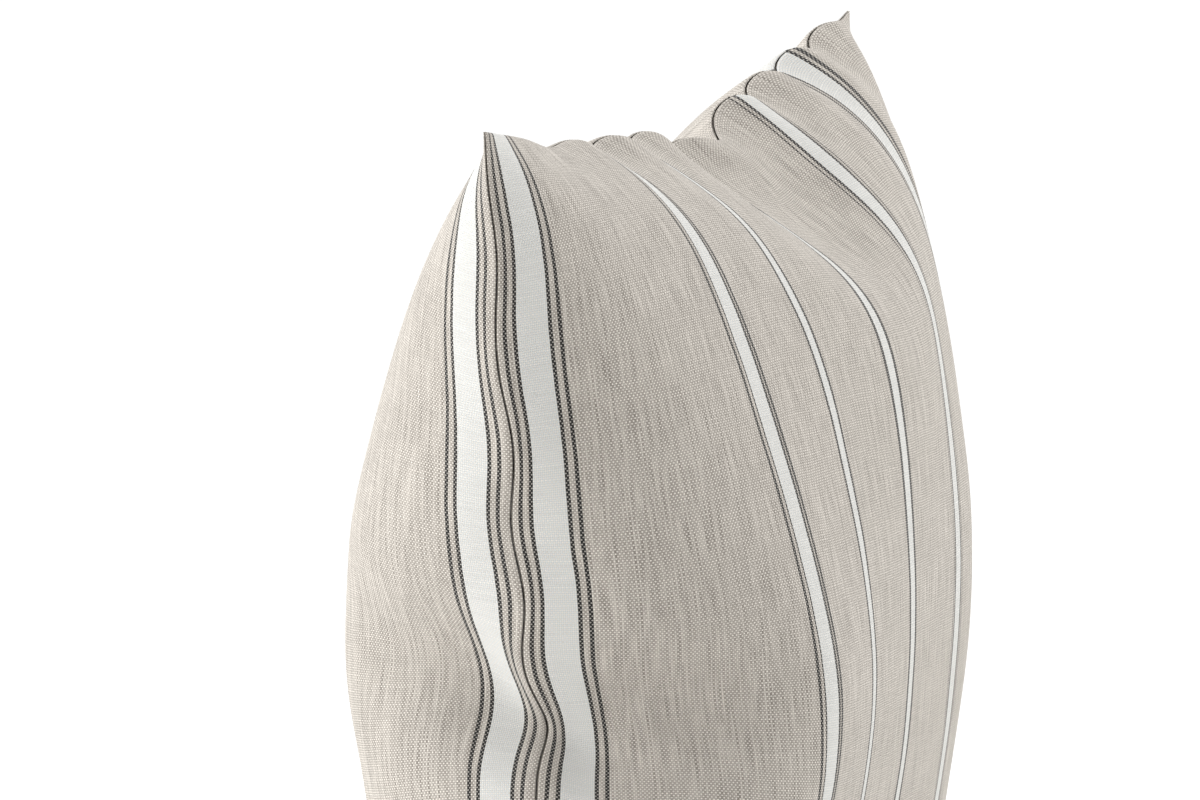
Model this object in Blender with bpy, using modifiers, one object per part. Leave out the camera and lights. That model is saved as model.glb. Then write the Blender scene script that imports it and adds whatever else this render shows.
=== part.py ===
"""Throw pillow: a knife-edge cover of two striped panels, closed by a zipper in its bottom seam,
over a separate filled insert.

It stands on its two bottom corners, with its front towards -Y and its origin on the floor below
its middle. u and v run from -1 to 1 across and up a panel, from seam to seam.
"""

import math

import bmesh
import bpy

# Cover, as cut and sewn flat, and what filling it does to it.
COVER_WIDTH = 0.508
COVER_HEIGHT = 0.508
COVER_CLOTH = 0.0005
PILLOW_THICKNESS = 0.190
CORNER_DRAW = 0.008
SIDE_PULL_IN = 0.032
TOP_DIP = 0.030
BOTTOM_RISE = 0.030
FOOT_PRESS = 0.010
SOLE_DEPTH = 0.006
SOLE_BLEND = 0.018
CROWN_POWER = 0.45
SETTLING = 0.12
PANEL_CELLS = 24

# Insert: a thin cotton case round a block of fibre.
INSERT_INSET = 0.009
INSERT_CLOTH = 0.0004
FILL_INSET = 0.005
CASE_CELLS = 20

# Sewing.
SEAM_GAP = 0.002
THREAD_DIAMETER = 0.0004
THREAD_SPACING = 0.012
THREAD_END_GAP = 0.004
FOOT_END_GAP = 0.014
GAP = 0.0003

# Zipper: coil zipper with a locking slider.
ZIPPER_LENGTH = 0.356
ZIPPER_SLIT = 0.008
ZIPPER_DEPTH = 0.005
SLIT_TAPER = 0.022
TAPE_WIDTH = 0.0095
TAPE_THICKNESS = 0.0006
TAPE_END = 0.008
COIL_DIAMETER = 0.0016
COIL_SPACING = 0.0012
SLIDER_LENGTH = 0.010
SLIDER_WIDTH = 0.0072
SLIDER_PLATE = 0.0008
SLIDER_TO_STOP = 0.0005
POST_LENGTH = 0.003
POST_THICKNESS = 0.0006
STOP_LENGTH = 0.002
BRIDGE_LENGTH = 0.0064
BRIDGE_WIDTH = 0.0012
BRIDGE_BAR = 0.0008
BRIDGE_HEIGHT = 0.0023
TAB_LENGTH = 0.018
TAB_WIDTH = 0.005
TAB_THICKNESS = 0.0008
TAB_BAR = 0.0009
TAB_WINDOW_WIDTH = 0.003
TAB_WINDOW_LENGTH = 0.0035

LINEN = (0.56, 0.50, 0.44, 1.0)
COTTON = (0.86, 0.85, 0.82, 1.0)
FIBRE = (0.93, 0.93, 0.92, 1.0)
THREAD = (0.30, 0.27, 0.24, 1.0)
TAPE = (0.62, 0.57, 0.51, 1.0)
NYLON = (0.55, 0.50, 0.45, 1.0)
ZINC = (0.62, 0.60, 0.57, 1.0)

HALF_WIDTH = COVER_WIDTH / 2 - CORNER_DRAW
HALF_HEIGHT = COVER_HEIGHT / 2 - CORNER_DRAW
CENTRE_Z = HALF_HEIGHT - FOOT_PRESS
ZIPPER_END = ZIPPER_LENGTH / 2
TAPE_REACH = ZIPPER_END + TAPE_END
PLATE_Z = COIL_DIAMETER / 2 + GAP
SLIDER_X = ZIPPER_END - SLIDER_LENGTH / 2 - SLIDER_TO_STOP


# ---------------------------------------------------------------- the pillow's form


def smooth(t):
    """0 to 1 along an S-curve."""
    t = min(max(t, 0.0), 1.0)
    return t * t * (3 - 2 * t)


def crowded(s):
    """An even spacing from -1 to 1 drawn towards its two ends, where the form curves most."""
    return s * (1.25 - 0.25 * s * s)


def beyond_zipper(x, taper):
    """0 beside the zipper and its tape ends, rising to 1 within taper past them."""
    return smooth((abs(x) - TAPE_REACH) / taper)


def seam_rise(u, inset):
    """How high the bottom seam is drawn above the corners. The zipper keeps it straight."""
    reach = HALF_WIDTH - inset
    return BOTTOM_RISE * (1 - beyond_zipper(u * reach, reach - TAPE_REACH))


def across(u, v, inset):
    """x and z of a point of a layer whose seams lie inset from the cover's."""
    x = u * (HALF_WIDTH - inset - SIDE_PULL_IN * (1 - v * v))
    pull = TOP_DIP * (1 - u * u) if v > 0 else seam_rise(u, inset)
    return x, CENTRE_Z + v * (HALF_HEIGHT - inset - pull)


def crown(u, v):
    """Share of the full half thickness, fuller below, where the filling settles."""
    return ((1 - u * u) * (1 - v * v) * (1 - SETTLING * v)) ** CROWN_POWER


def seam_half_gap(u, v, slit):
    """Half the space between the two panels' edges, wider along the zipper's slit."""
    if not slit:
        return SEAM_GAP / 2
    widening = (ZIPPER_SLIT - SEAM_GAP) / 2
    low = max(-v, 0.0) ** 8
    return SEAM_GAP / 2 + widening * low * (1 - beyond_zipper(u * HALF_WIDTH, SLIT_TAPER))


def pressed(z, floor):
    """A height once the weight of the pillow has flattened its lowest cloth onto the floor."""
    return max(z - SOLE_DEPTH * (1 - smooth(z / SOLE_BLEND)), floor)


ZIPPER_Z = pressed(BOTTOM_RISE - FOOT_PRESS, 0) + ZIPPER_DEPTH
HINGE_Z = ZIPPER_Z - PLATE_Z - SLIDER_PLATE - TAB_BAR / 2 - GAP


def form_point(u, v, inset, thinner, floor, slit):
    """A point of a layer's back half. The front half has the same points with y turned over."""
    x, z = across(u, v, inset)
    y = seam_half_gap(u, v, slit) + (PILLOW_THICKNESS / 2 - thinner) * crown(u, v)
    return x, y, pressed(z, floor)


def panel_bmesh(side, cells, inset, thinner, floor, slit):
    """One layer's front (side -1) or back (side 1) as an open surface facing out."""
    bm = bmesh.new()
    bmesh.ops.create_grid(bm, x_segments=cells, y_segments=cells, size=1)
    for vertex in bm.verts:
        x, y, z = form_point(crowded(vertex.co.x), crowded(vertex.co.y), inset, thinner, floor, slit)
        vertex.co = (x, side * y, z)
    if side > 0:
        bmesh.ops.reverse_faces(bm, faces=bm.faces)
    return bm


# ---------------------------------------------------------------- objects and materials


def clear_scene():
    for old in list(bpy.data.objects):
        bpy.data.objects.remove(old)


def new_collection(name, hidden=False):
    collection = bpy.data.collections.new(name)
    bpy.context.scene.collection.children.link(collection)
    collection.hide_render = hidden
    return collection


def material(name, colour, roughness, metallic=0.0):
    made = bpy.data.materials.new(name)
    made.use_nodes = True
    shader = made.node_tree.nodes["Principled BSDF"]
    shader.inputs["Base Color"].default_value = colour
    shader.inputs["Roughness"].default_value = roughness
    shader.inputs["Metallic"].default_value = metallic
    made.diffuse_color = colour
    return made


def add_object(name, data, finish, location=(0, 0, 0)):
    obj = bpy.data.objects.new(name, data)
    obj.location = location
    data.materials.append(finish)
    PILLOW.objects.link(obj)
    return obj


def add_bmesh(name, bm, finish, location=(0, 0, 0)):
    mesh = bpy.data.meshes.new(name)
    bm.to_mesh(mesh)
    bm.free()
    return add_object(name, mesh, finish, location)


def box_bmesh(size, centre=(0, 0, 0)):
    bm = bmesh.new()
    bmesh.ops.create_cube(bm, size=1)
    bmesh.ops.scale(bm, vec=size, verts=bm.verts)
    bmesh.ops.translate(bm, vec=centre, verts=bm.verts)
    return bm


def add_box(name, size, location, finish):
    return add_bmesh(name, box_bmesh(size), finish, location)


def add_cutter(name, size, location):
    obj = add_bmesh(name, box_bmesh(size), FINISHES["zinc"], location)
    PILLOW.objects.unlink(obj)
    CUTTERS.objects.link(obj)
    obj.hide_render = True
    obj.display_type = "WIRE"
    return obj


def boolean(obj, other, operation):
    step = obj.modifiers.new(other.name, "BOOLEAN")
    step.operation = operation
    step.object = other


def bevel(obj, width):
    step = obj.modifiers.new("round_edges", "BEVEL")
    step.width = width
    step.segments = 2
    step.limit_method = "ANGLE"


def shell(obj, thickness):
    step = obj.modifiers.new("cloth", "SOLIDIFY")
    step.thickness = thickness
    step.offset = -1


def tube(name, points, diameter, finish, sides=4, closed=False):
    curve = bpy.data.curves.new(name, "CURVE")
    curve.dimensions = "3D"
    curve.bevel_depth = diameter / 2
    curve.bevel_resolution = sides // 2 - 2
    curve.use_fill_caps = not closed
    spline = curve.splines.new("POLY")
    spline.points.add(len(points) - 1)
    for slot, point in zip(spline.points, points):
        slot.co = (*point, 1)
    spline.use_cyclic_u = closed
    return add_object(name, curve, finish)


def shade_smooth(obj, angle=40):
    obj.data.shade_smooth()
    obj.data.set_sharp_from_angle(angle=math.radians(angle))


# ---------------------------------------------------------------- cover and insert


def cover_panels():
    for name, side in (("cover_front_panel", -1), ("cover_back_panel", 1)):
        bm = panel_bmesh(side, PANEL_CELLS, 0, 0, 0, True)
        panel = add_bmesh(name, bm, FINISHES["linen"])
        shell(panel, COVER_CLOTH)
        shade_smooth(panel)


def seam_point(u, v, inset, floor):
    x, z = across(u, v, inset)
    return x, 0, pressed(z, floor + THREAD_DIAMETER / 2)


def seam_line(start, end, inset=0, floor=0):
    """Points along a straight stretch of the flat cover's edge, given by its ends in u and v."""
    ends = list(zip(start, end))
    length = math.dist(start, end) * HALF_WIDTH
    count = math.ceil(length / THREAD_SPACING)
    steps = [i / count for i in range(count + 1)]
    return [seam_point(*[a + (b - a) * t for a, b in ends], inset, floor) for t in steps]


def cover_threads():
    """The lockstitch in each sewn stretch. The threads stop just short of the corners, and the
    bottom ones further back, where the feet press the side threads down beside them."""
    side_end = 1 - THREAD_END_GAP / HALF_HEIGHT
    top_end = 1 - THREAD_END_GAP / HALF_WIDTH
    foot_end = 1 - FOOT_END_GAP / HALF_WIDTH
    past_slit = (TAPE_REACH + SLIT_TAPER) / HALF_WIDTH
    stretches = {
        "seam_thread_left": ((-1, -side_end), (-1, side_end)),
        "seam_thread_right": ((1, -side_end), (1, side_end)),
        "seam_thread_top": ((-top_end, 1), (top_end, 1)),
        "seam_thread_bottom_left": ((-foot_end, -1), (-past_slit, -1)),
        "seam_thread_bottom_right": ((past_slit, -1), (foot_end, -1)),
    }
    for name, (start, end) in stretches.items():
        tube(name, seam_line(start, end), THREAD_DIAMETER, FINISHES["thread"])


def insert_layer():
    """How far inside the cover the insert's case starts, in thickness and above the floor."""
    return COVER_CLOTH + 2 * GAP, COVER_CLOTH + 3 * GAP


def insert_case():
    thinner, floor = insert_layer()
    for name, side in (("insert_front_panel", -1), ("insert_back_panel", 1)):
        bm = panel_bmesh(side, CASE_CELLS, INSERT_INSET, thinner, floor, False)
        panel = add_bmesh(name, bm, FINISHES["cotton"])
        shell(panel, INSERT_CLOTH)
        shade_smooth(panel)
    corners = ((-1, -1), (1, -1), (1, 1), (-1, 1))
    loop = []
    for start, end in zip(corners, corners[1:] + corners[:1]):
        loop += seam_line(start, end, INSERT_INSET, floor)[:-1]
    tube("insert_seam_thread", loop, THREAD_DIAMETER, FINISHES["thread"], closed=True)


def insert_fill():
    """The fibre block, as one closed form of two halves that meet along its outline."""
    case_thinner, case_floor = insert_layer()
    inset = INSERT_INSET + FILL_INSET
    thinner = case_thinner + SEAM_GAP / 2 + INSERT_CLOTH + 2 * GAP
    floor = case_floor + INSERT_CLOTH + 3 * GAP
    bm = bmesh.new()
    for side in (-1, 1):
        half = panel_bmesh(side, CASE_CELLS, inset, thinner, floor, False)
        for vertex in half.verts:
            vertex.co.y -= side * SEAM_GAP / 2
        mesh = bpy.data.meshes.new("half")
        half.to_mesh(mesh)
        half.free()
        bm.from_mesh(mesh)
        bpy.data.meshes.remove(mesh)
    bmesh.ops.remove_doubles(bm, verts=bm.verts, dist=1e-6)
    shade_smooth(add_bmesh("insert_fill", bm, FINISHES["fibre"]))


# ---------------------------------------------------------------- zipper


def zipper_tapes_and_coils():
    coil_y = COIL_SPACING / 2 + COIL_DIAMETER / 2
    tape_y = COIL_SPACING / 2 + COIL_DIAMETER + GAP + TAPE_WIDTH / 2
    for name, side in (("front", -1), ("back", 1)):
        tape = (ZIPPER_LENGTH + 2 * TAPE_END, TAPE_WIDTH, TAPE_THICKNESS)
        add_box(f"zipper_tape_{name}", tape, (0, side * tape_y, ZIPPER_Z), FINISHES["tape"])
        ends = [(x, side * coil_y, ZIPPER_Z) for x in (-ZIPPER_END, ZIPPER_END)]
        tube(f"zipper_coil_{name}", ends, COIL_DIAMETER, FINISHES["nylon"], sides=8)
        stop = (STOP_LENGTH, COIL_DIAMETER, COIL_DIAMETER)
        place = (ZIPPER_END + GAP + STOP_LENGTH / 2, side * coil_y, ZIPPER_Z)
        bevel(add_box(f"zipper_top_stop_{name}", stop, place, FINISHES["zinc"]), 0.0002)
    both = (STOP_LENGTH, COIL_SPACING + 2 * COIL_DIAMETER, COIL_DIAMETER)
    place = (-ZIPPER_END - GAP - STOP_LENGTH / 2, 0, ZIPPER_Z)
    bevel(add_box("zipper_bottom_stop", both, place, FINISHES["zinc"]), 0.0002)


def zipper_slider():
    """Two plates round the coils, joined by a post between them, with a bridge for the tab."""
    size = (SLIDER_LENGTH, SLIDER_WIDTH, 2 * (PLATE_Z + SLIDER_PLATE))
    slider = add_box("zipper_slider", size, (SLIDER_X, 0, ZIPPER_Z), FINISHES["zinc"])
    bevel(slider, SLIDER_PLATE * 0.4)
    half_open = (SLIDER_WIDTH - POST_THICKNESS) / 2 + 0.001
    for name, side in (("front", -1), ("back", 1)):
        y = side * (POST_THICKNESS + half_open) / 2
        channel = (2 * SLIDER_LENGTH, half_open, 2 * PLATE_Z)
        boolean(slider, add_cutter(f"channel_{name}", channel, (SLIDER_X, y, ZIPPER_Z)), "DIFFERENCE")
    tail = (SLIDER_LENGTH, 2 * POST_THICKNESS, 2 * PLATE_Z)
    place = (SLIDER_X - POST_LENGTH, 0, ZIPPER_Z)
    boolean(slider, add_cutter("post_tail", tail, place), "DIFFERENCE")
    bridge_top = ZIPPER_Z - PLATE_Z - SLIDER_PLATE / 2
    bridge_low = HINGE_Z - BRIDGE_HEIGHT + TAB_BAR / 2 + GAP
    bridge = (BRIDGE_LENGTH, BRIDGE_WIDTH, bridge_top - bridge_low)
    place = (SLIDER_X, 0, (bridge_top + bridge_low) / 2)
    boolean(slider, add_cutter("bridge_block", bridge, place), "UNION")
    opening_top = ZIPPER_Z - PLATE_Z - SLIDER_PLATE
    opening_low = bridge_low + BRIDGE_BAR
    opening = (BRIDGE_LENGTH - 2 * BRIDGE_BAR, 2 * BRIDGE_WIDTH, opening_top - opening_low)
    place = (SLIDER_X, 0, (opening_top + opening_low) / 2)
    boolean(slider, add_cutter("bridge_opening", opening, place), "DIFFERENCE")


def zipper_pull_tab():
    """A flat tab whose top bar passes through the slider's bridge. Its origin is its hinge."""
    length = TAB_LENGTH + TAB_BAR / 2
    bm = box_bmesh((TAB_THICKNESS, TAB_WIDTH, length), (0, 0, TAB_BAR / 2 - length / 2))
    tab = add_bmesh("zipper_pull_tab", bm, FINISHES["zinc"], (SLIDER_X, 0, HINGE_Z))
    bevel(tab, TAB_THICKNESS * 0.3)
    window = (2 * TAB_THICKNESS, TAB_WINDOW_WIDTH, TAB_WINDOW_LENGTH)
    place = (SLIDER_X, 0, HINGE_Z - TAB_BAR / 2 - TAB_WINDOW_LENGTH / 2)
    boolean(tab, add_cutter("tab_window", window, place), "DIFFERENCE")


clear_scene()
PILLOW = new_collection("throw_pillow")
CUTTERS = new_collection("cutters", hidden=True)
FINISHES = {
    "linen": material("woven_linen", LINEN, 0.9),
    "cotton": material("cotton_cambric", COTTON, 0.9),
    "fibre": material("polyester_fibre", FIBRE, 1.0),
    "thread": material("sewing_thread", THREAD, 0.7),
    "tape": material("polyester_tape", TAPE, 0.8),
    "nylon": material("nylon_coil", NYLON, 0.45),
    "zinc": material("plated_zinc", ZINC, 0.35, 1.0),
}
cover_panels()
cover_threads()
insert_case()
insert_fill()
zipper_tapes_and_coils()
zipper_slider()
zipper_pull_tab()
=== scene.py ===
"""Striped linen throw pillow: the finished cloth, sewing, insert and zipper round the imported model."""

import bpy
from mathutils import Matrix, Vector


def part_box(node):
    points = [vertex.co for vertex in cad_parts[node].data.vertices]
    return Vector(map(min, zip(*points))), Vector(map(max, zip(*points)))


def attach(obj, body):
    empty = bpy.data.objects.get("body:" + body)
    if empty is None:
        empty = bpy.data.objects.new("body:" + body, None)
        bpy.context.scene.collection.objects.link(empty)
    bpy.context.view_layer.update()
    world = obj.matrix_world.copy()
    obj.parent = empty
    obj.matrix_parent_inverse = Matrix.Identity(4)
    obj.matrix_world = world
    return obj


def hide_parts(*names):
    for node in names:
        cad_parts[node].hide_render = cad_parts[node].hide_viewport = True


bl_info = {
    "name": "Striped linen throw pillow",
    "version": (1, 0, 0),
    "blender": (4, 5, 0),
    "location": "3D View > Sidebar > Pillow",
    "description": "Sews, fills and finishes a knife-edge throw pillow with a zipped cover",
    "category": "Object",
}

import math

import bpy
import numpy as np
from bpy.props import FloatProperty, FloatVectorProperty, IntProperty, PointerProperty
from mathutils import Quaternion, Vector

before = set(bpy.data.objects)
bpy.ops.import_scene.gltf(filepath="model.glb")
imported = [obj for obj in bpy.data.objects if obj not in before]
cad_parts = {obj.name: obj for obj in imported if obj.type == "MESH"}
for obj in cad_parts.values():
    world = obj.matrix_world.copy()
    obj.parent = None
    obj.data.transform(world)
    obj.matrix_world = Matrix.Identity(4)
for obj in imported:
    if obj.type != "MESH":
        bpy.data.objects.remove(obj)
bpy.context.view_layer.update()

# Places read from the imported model.
BODY = "pillow"
COVER_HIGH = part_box("cover_front_panel")[1]
TAPE_LOW, TAPE_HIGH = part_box("zipper_tape_back")
COIL_LOW, COIL_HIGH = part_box("zipper_coil_back")
ZIPPER_Z = (TAPE_LOW.z + TAPE_HIGH.z) / 2
TAPE_REACH = TAPE_HIGH.x
HALF_WIDTH = COVER_HIGH.x

# How the filled cover stands, in metres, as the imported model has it.
FOOT_PRESS = 0.010
HALF_HEIGHT = (COVER_HIGH.z + FOOT_PRESS) / 2
CENTRE_Z = COVER_HIGH.z - HALF_HEIGHT
SOLE_DEPTH = 0.006
SOLE_BLEND = 0.018
SLIT_HALF = 0.004
SLIT_BELOW_ZIPPER = 0.005
SLIT_Z = ZIPPER_Z - SLIT_BELOW_ZIPPER

# How far past the zipper's ends the bottom stitches stop and the insert comes down, in metres.
PAST_SLIT = 0.004

# Stripes: the middle of each group, in millimetres from the near side seam, and its breadth as a
# share of the full pattern; then the bands of a group, in millimetres either side of its middle.
WIDE_STRIPES = ((15.4, 1.12), (133.0, 0.75), (347.0, 0.8), (418.0, 1.0))
NARROW_STRIPES = ((192.0, 1.0), (260.0, 1.4))
WIDE_WHITE = (-1.0, 6.0)
WIDE_BLACK = ((6.0, 7.95), (9.8, 11.75))
NARROW_WHITE = (-1.0, 2.4)
NARROW_BLACK = ((2.4, 4.3),)
BACK_SHIFT = -1.7

MM = 1000
SIDES = (-1, 1)
NAMES = ("front", "back")

# What one step leaves for the steps after it.
settled = {}


# ---------------------------------------------------------------- settings


def linear(hex_colour):
    """An sRGB colour such as "c8b99a" as linear red, green and blue."""
    parts = [int(hex_colour[i : i + 2], 16) / 255 for i in (0, 2, 4)]
    return tuple(p / 12.92 if p <= 0.04045 else ((p + 0.055) / 1.055) ** 2.4 for p in parts)


def size(name, description, default):
    """A length in metres."""
    return FloatProperty(
        name=name, description=description, default=default, unit="LENGTH", precision=5
    )


def angle(name, description, degrees):
    """An angle whose default is given in degrees."""
    return FloatProperty(
        name=name, description=description, default=math.radians(degrees), unit="ROTATION"
    )


def number(name, description, default):
    return FloatProperty(name=name, description=description, default=default)


def dye(name, description, hex_colour):
    """A colour whose default is given as sRGB hex."""
    return FloatVectorProperty(
        name=name, description=description, default=linear(hex_colour), subtype="COLOR", min=0, max=1
    )


class CoverSettings(bpy.types.PropertyGroup):
    width: size("Flat width", "Width of a panel between its seams, laid flat", 0.508)
    height: size("Flat height", "Height of a panel between its seams, laid flat", 0.508)
    thickness: size("Cloth thickness", "Thickness of the woven cloth", 0.0005)
    cells: IntProperty(name="Cells", description="Cells across a panel while it is filled", default=72)
    steps: IntProperty(name="Filling steps", description="Steps that the filling takes", default=100)
    volume: FloatProperty(
        name="Filling", description="Room that the filling takes up", default=0.023, unit="VOLUME"
    )
    stretch: number("Stretch stiffness", "How hard the cloth resists stretching", 30)
    fold: number("Fold stiffness", "How hard the cloth resists folding", 0.3)
    half_depth: size("Half depth", "From the middle to the crown of each panel", 0.1052)
    settling: number("Settling", "How much fuller the front is low by its near side", 0.27)
    gather: size("Gathers", "How far the stitches draw the seams into waves", 0.0042)
    roll: size("Seam roll", "How far each panel rolls out beside the stitches", 0.0005)
    recess: size("Seam recess", "How deep the stitches lie below that roll", 0.0005)


class WeaveSettings(bpy.types.PropertyGroup):
    warp: size("Warp spacing", "Distance between upright threads", 0.00086)
    weft: size("Weft spacing", "Distance between crossing threads", 0.00094)
    ground: dye("Ground", "Unbleached upright threads", "89827a")
    ground_pale: dye("Pale ground", "Paler stretches of the unbleached threads", "c5beb5")
    crossing: dye("Crossing threads", "Half-bleached crossing threads", "ded8cf")
    white: dye("White stripe", "Bleached upright threads", "d3d4d2")
    black: dye("Charcoal stripe", "Dyed upright threads", "1c1b1a")


class SewingSettings(bpy.types.PropertyGroup):
    thread: size("Thread diameter", "Diameter of the sewing thread", 0.0003)
    depth: size("Stitch depth", "How deep the stitches lie between the panels' edges", 0.0009)
    stitch: size("Stitch length", "Length of one stitch", 0.0028)
    tint: dye("Thread colour", "Colour of the sewing thread", "a89f93")


class InsertSettings(bpy.types.PropertyGroup):
    width: size("Flat width", "Width of the case between its seams, laid flat", 0.490)
    thickness: size("Cotton thickness", "Thickness of the case's cotton", 0.0004)
    case_inset: size("Case inset", "From the cover's seams to the case's", 0.012)
    fill_inset: size("Filling inset", "From the cover's seams to the filling's edge", 0.016)
    thread: size("Thread diameter", "Diameter of the thread round the case", 0.0004)
    cotton: dye("Cotton", "Colour of the case", "f0eee9")
    fibre: dye("Fibre", "Colour of the filling", "f4f4f2")


class ZipperSettings(bpy.types.PropertyGroup):
    pitch: size("Coil pitch", "Distance between two turns of a coil", 0.0013)
    wire: size("Coil wire", "Thickness of the nylon that a coil is wound from", 0.00045)
    post_room: size("Post room", "From the zipper's middle to the coils, for the slider's post", 0.00035)
    tape: dye("Tape", "Colour of the woven tapes", "c4b8a8")
    nylon: dye("Nylon", "Colour of the coils", "b8ad9e")
    nickel: dye("Nickel", "Colour of the plated slider, tab and stops", "c9c5bf")


class StageSettings(bpy.types.PropertyGroup):
    azimuth: angle("Azimuth", "Where the camera stands", -72.0)
    elevation: angle("Elevation", "How far the camera looks down", 5.1)
    roll: angle("Roll", "How far the camera is tilted", -0.32)
    distance: size("Distance", "From the camera to the pillow", 7.75)
    lens: number("Lens", "Focal length in millimetres", 568.4)
    aside: size("Aside", "Aim point right of the pillow's middle", -0.0309)
    above: size("Above", "Aim point above the pillow's middle", 0.1018)
    paper: dye("Floor", "Pale seamless paper", "f7f7f6")


SETTINGS = {
    "pillow_cover": CoverSettings,
    "pillow_weave": WeaveSettings,
    "pillow_sewing": SewingSettings,
    "pillow_insert": InsertSettings,
    "pillow_zipper": ZipperSettings,
    "pillow_stage": StageSettings,
}


# ---------------------------------------------------------------- materials


def add_node(tree, kind, inputs=None, out=0, **settings):
    """Adds a node, sets and links its inputs, and returns one of its outputs."""
    node = tree.nodes.new(kind)
    for name, value in settings.items():
        setattr(node, name, value)
    for key, value in (inputs or {}).items():
        named = [socket for socket in node.inputs if socket.enabled and socket.name == key]
        socket = named[0] if named else node.inputs[key]
        if isinstance(value, bpy.types.NodeSocket):
            tree.links.new(value, socket)
        else:
            socket.default_value = value
    found = [socket for socket in node.outputs if socket.enabled and socket.name == out]
    return found[0] if found else node.outputs[out]


def new_material(name, **constants):
    """A material, its node tree and its Principled shader, with the shader's constants set."""
    made = bpy.data.materials.new(name)
    made.use_nodes = True
    shader = made.node_tree.nodes["Principled BSDF"]
    for key, value in constants.items():
        words = key.replace("_", " ")
        shader.inputs[words.upper() if words == "ior" else words.title()].default_value = value
    return made, made.node_tree, shader


def rgba(dyed):
    return (*dyed, 1.0)


def band_mask(tree, distance, bands):
    """1 where the distance lies within one of the bands, and 0 elsewhere."""
    total = 0.0
    for low, high in bands:
        above = add_node(tree, "ShaderNodeMath", {0: distance, 1: low}, operation="GREATER_THAN")
        below = add_node(tree, "ShaderNodeMath", {0: distance, 1: high}, operation="LESS_THAN")
        total = add_node(tree, "ShaderNodeMath", {0: above, 1: below, 2: total}, operation="MULTIPLY_ADD")
    return total


def nearest_stripe(tree, across, middles):
    """Distance to the middle of the nearest group of stripes, in its pattern's millimetres."""
    farther_than_any = 1000.0
    nearest = farther_than_any
    for middle, breadth in middles:
        offset = add_node(tree, "ShaderNodeMath", {0: across, 1: middle}, operation="SUBTRACT")
        share = add_node(tree, "ShaderNodeMath", {0: offset, 1: breadth}, operation="DIVIDE")
        away = add_node(tree, "ShaderNodeMath", {0: share}, operation="ABSOLUTE")
        nearest = add_node(tree, "ShaderNodeMath", {0: away, 1: nearest}, operation="MINIMUM")
    return nearest


def thread_relief(tree, threads, warp_over):
    """Height of the cloth in plain weave: each thread arches over one that crosses it. Also how
    much of the crossing thread is seen, as an oval between the upright threads."""
    long_way_power, round_way_power = 0.35, 0.8
    turns = add_node(tree, "ShaderNodeVectorMath", {0: threads, "Scale": math.pi}, operation="SCALE")
    wave = add_node(tree, "ShaderNodeVectorMath", {0: turns}, operation="SINE")
    arch = add_node(tree, "ShaderNodeVectorMath", {0: wave}, operation="ABSOLUTE")
    across = add_node(tree, "ShaderNodeSeparateXYZ", {"Vector": arch}, out="X")
    along = add_node(tree, "ShaderNodeSeparateXYZ", {"Vector": arch}, out="Y")
    heights = []
    for round_way, long_way in ((along, across), (across, along)):
        crest = add_node(tree, "ShaderNodeMath", {0: long_way, 1: long_way_power}, operation="POWER")
        side = add_node(tree, "ShaderNodeMath", {0: round_way, 1: round_way_power}, operation="POWER")
        heights.append(add_node(tree, "ShaderNodeMath", {0: crest, 1: side}, operation="MULTIPLY"))
    height = add_node(
        tree, "ShaderNodeMix", {"Factor": warp_over, "A": heights[0], "B": heights[1]},
        data_type="FLOAT", out="Result",
    )
    oval = add_node(tree, "ShaderNodeMapRange", {"Value": heights[0], "From Min": 0.5, "From Max": 0.72})
    under = add_node(tree, "ShaderNodeMath", {0: 1.0, 1: warp_over}, operation="SUBTRACT")
    return height, add_node(tree, "ShaderNodeMath", {0: oval, 1: under}, operation="MULTIPLY")


def slubs(tree, numbers, panel, run):
    """A thread's own shade, changing over a few centimetres of its length."""
    placed = add_node(tree, "ShaderNodeVectorMath", {0: numbers, 1: run}, operation="MULTIPLY")
    return add_node(
        tree, "ShaderNodeTexNoise", {"Vector": placed, "W": panel, "Scale": 0.9, "Detail": 3.0},
        noise_dimensions="4D", out="Fac",
    )


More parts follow.
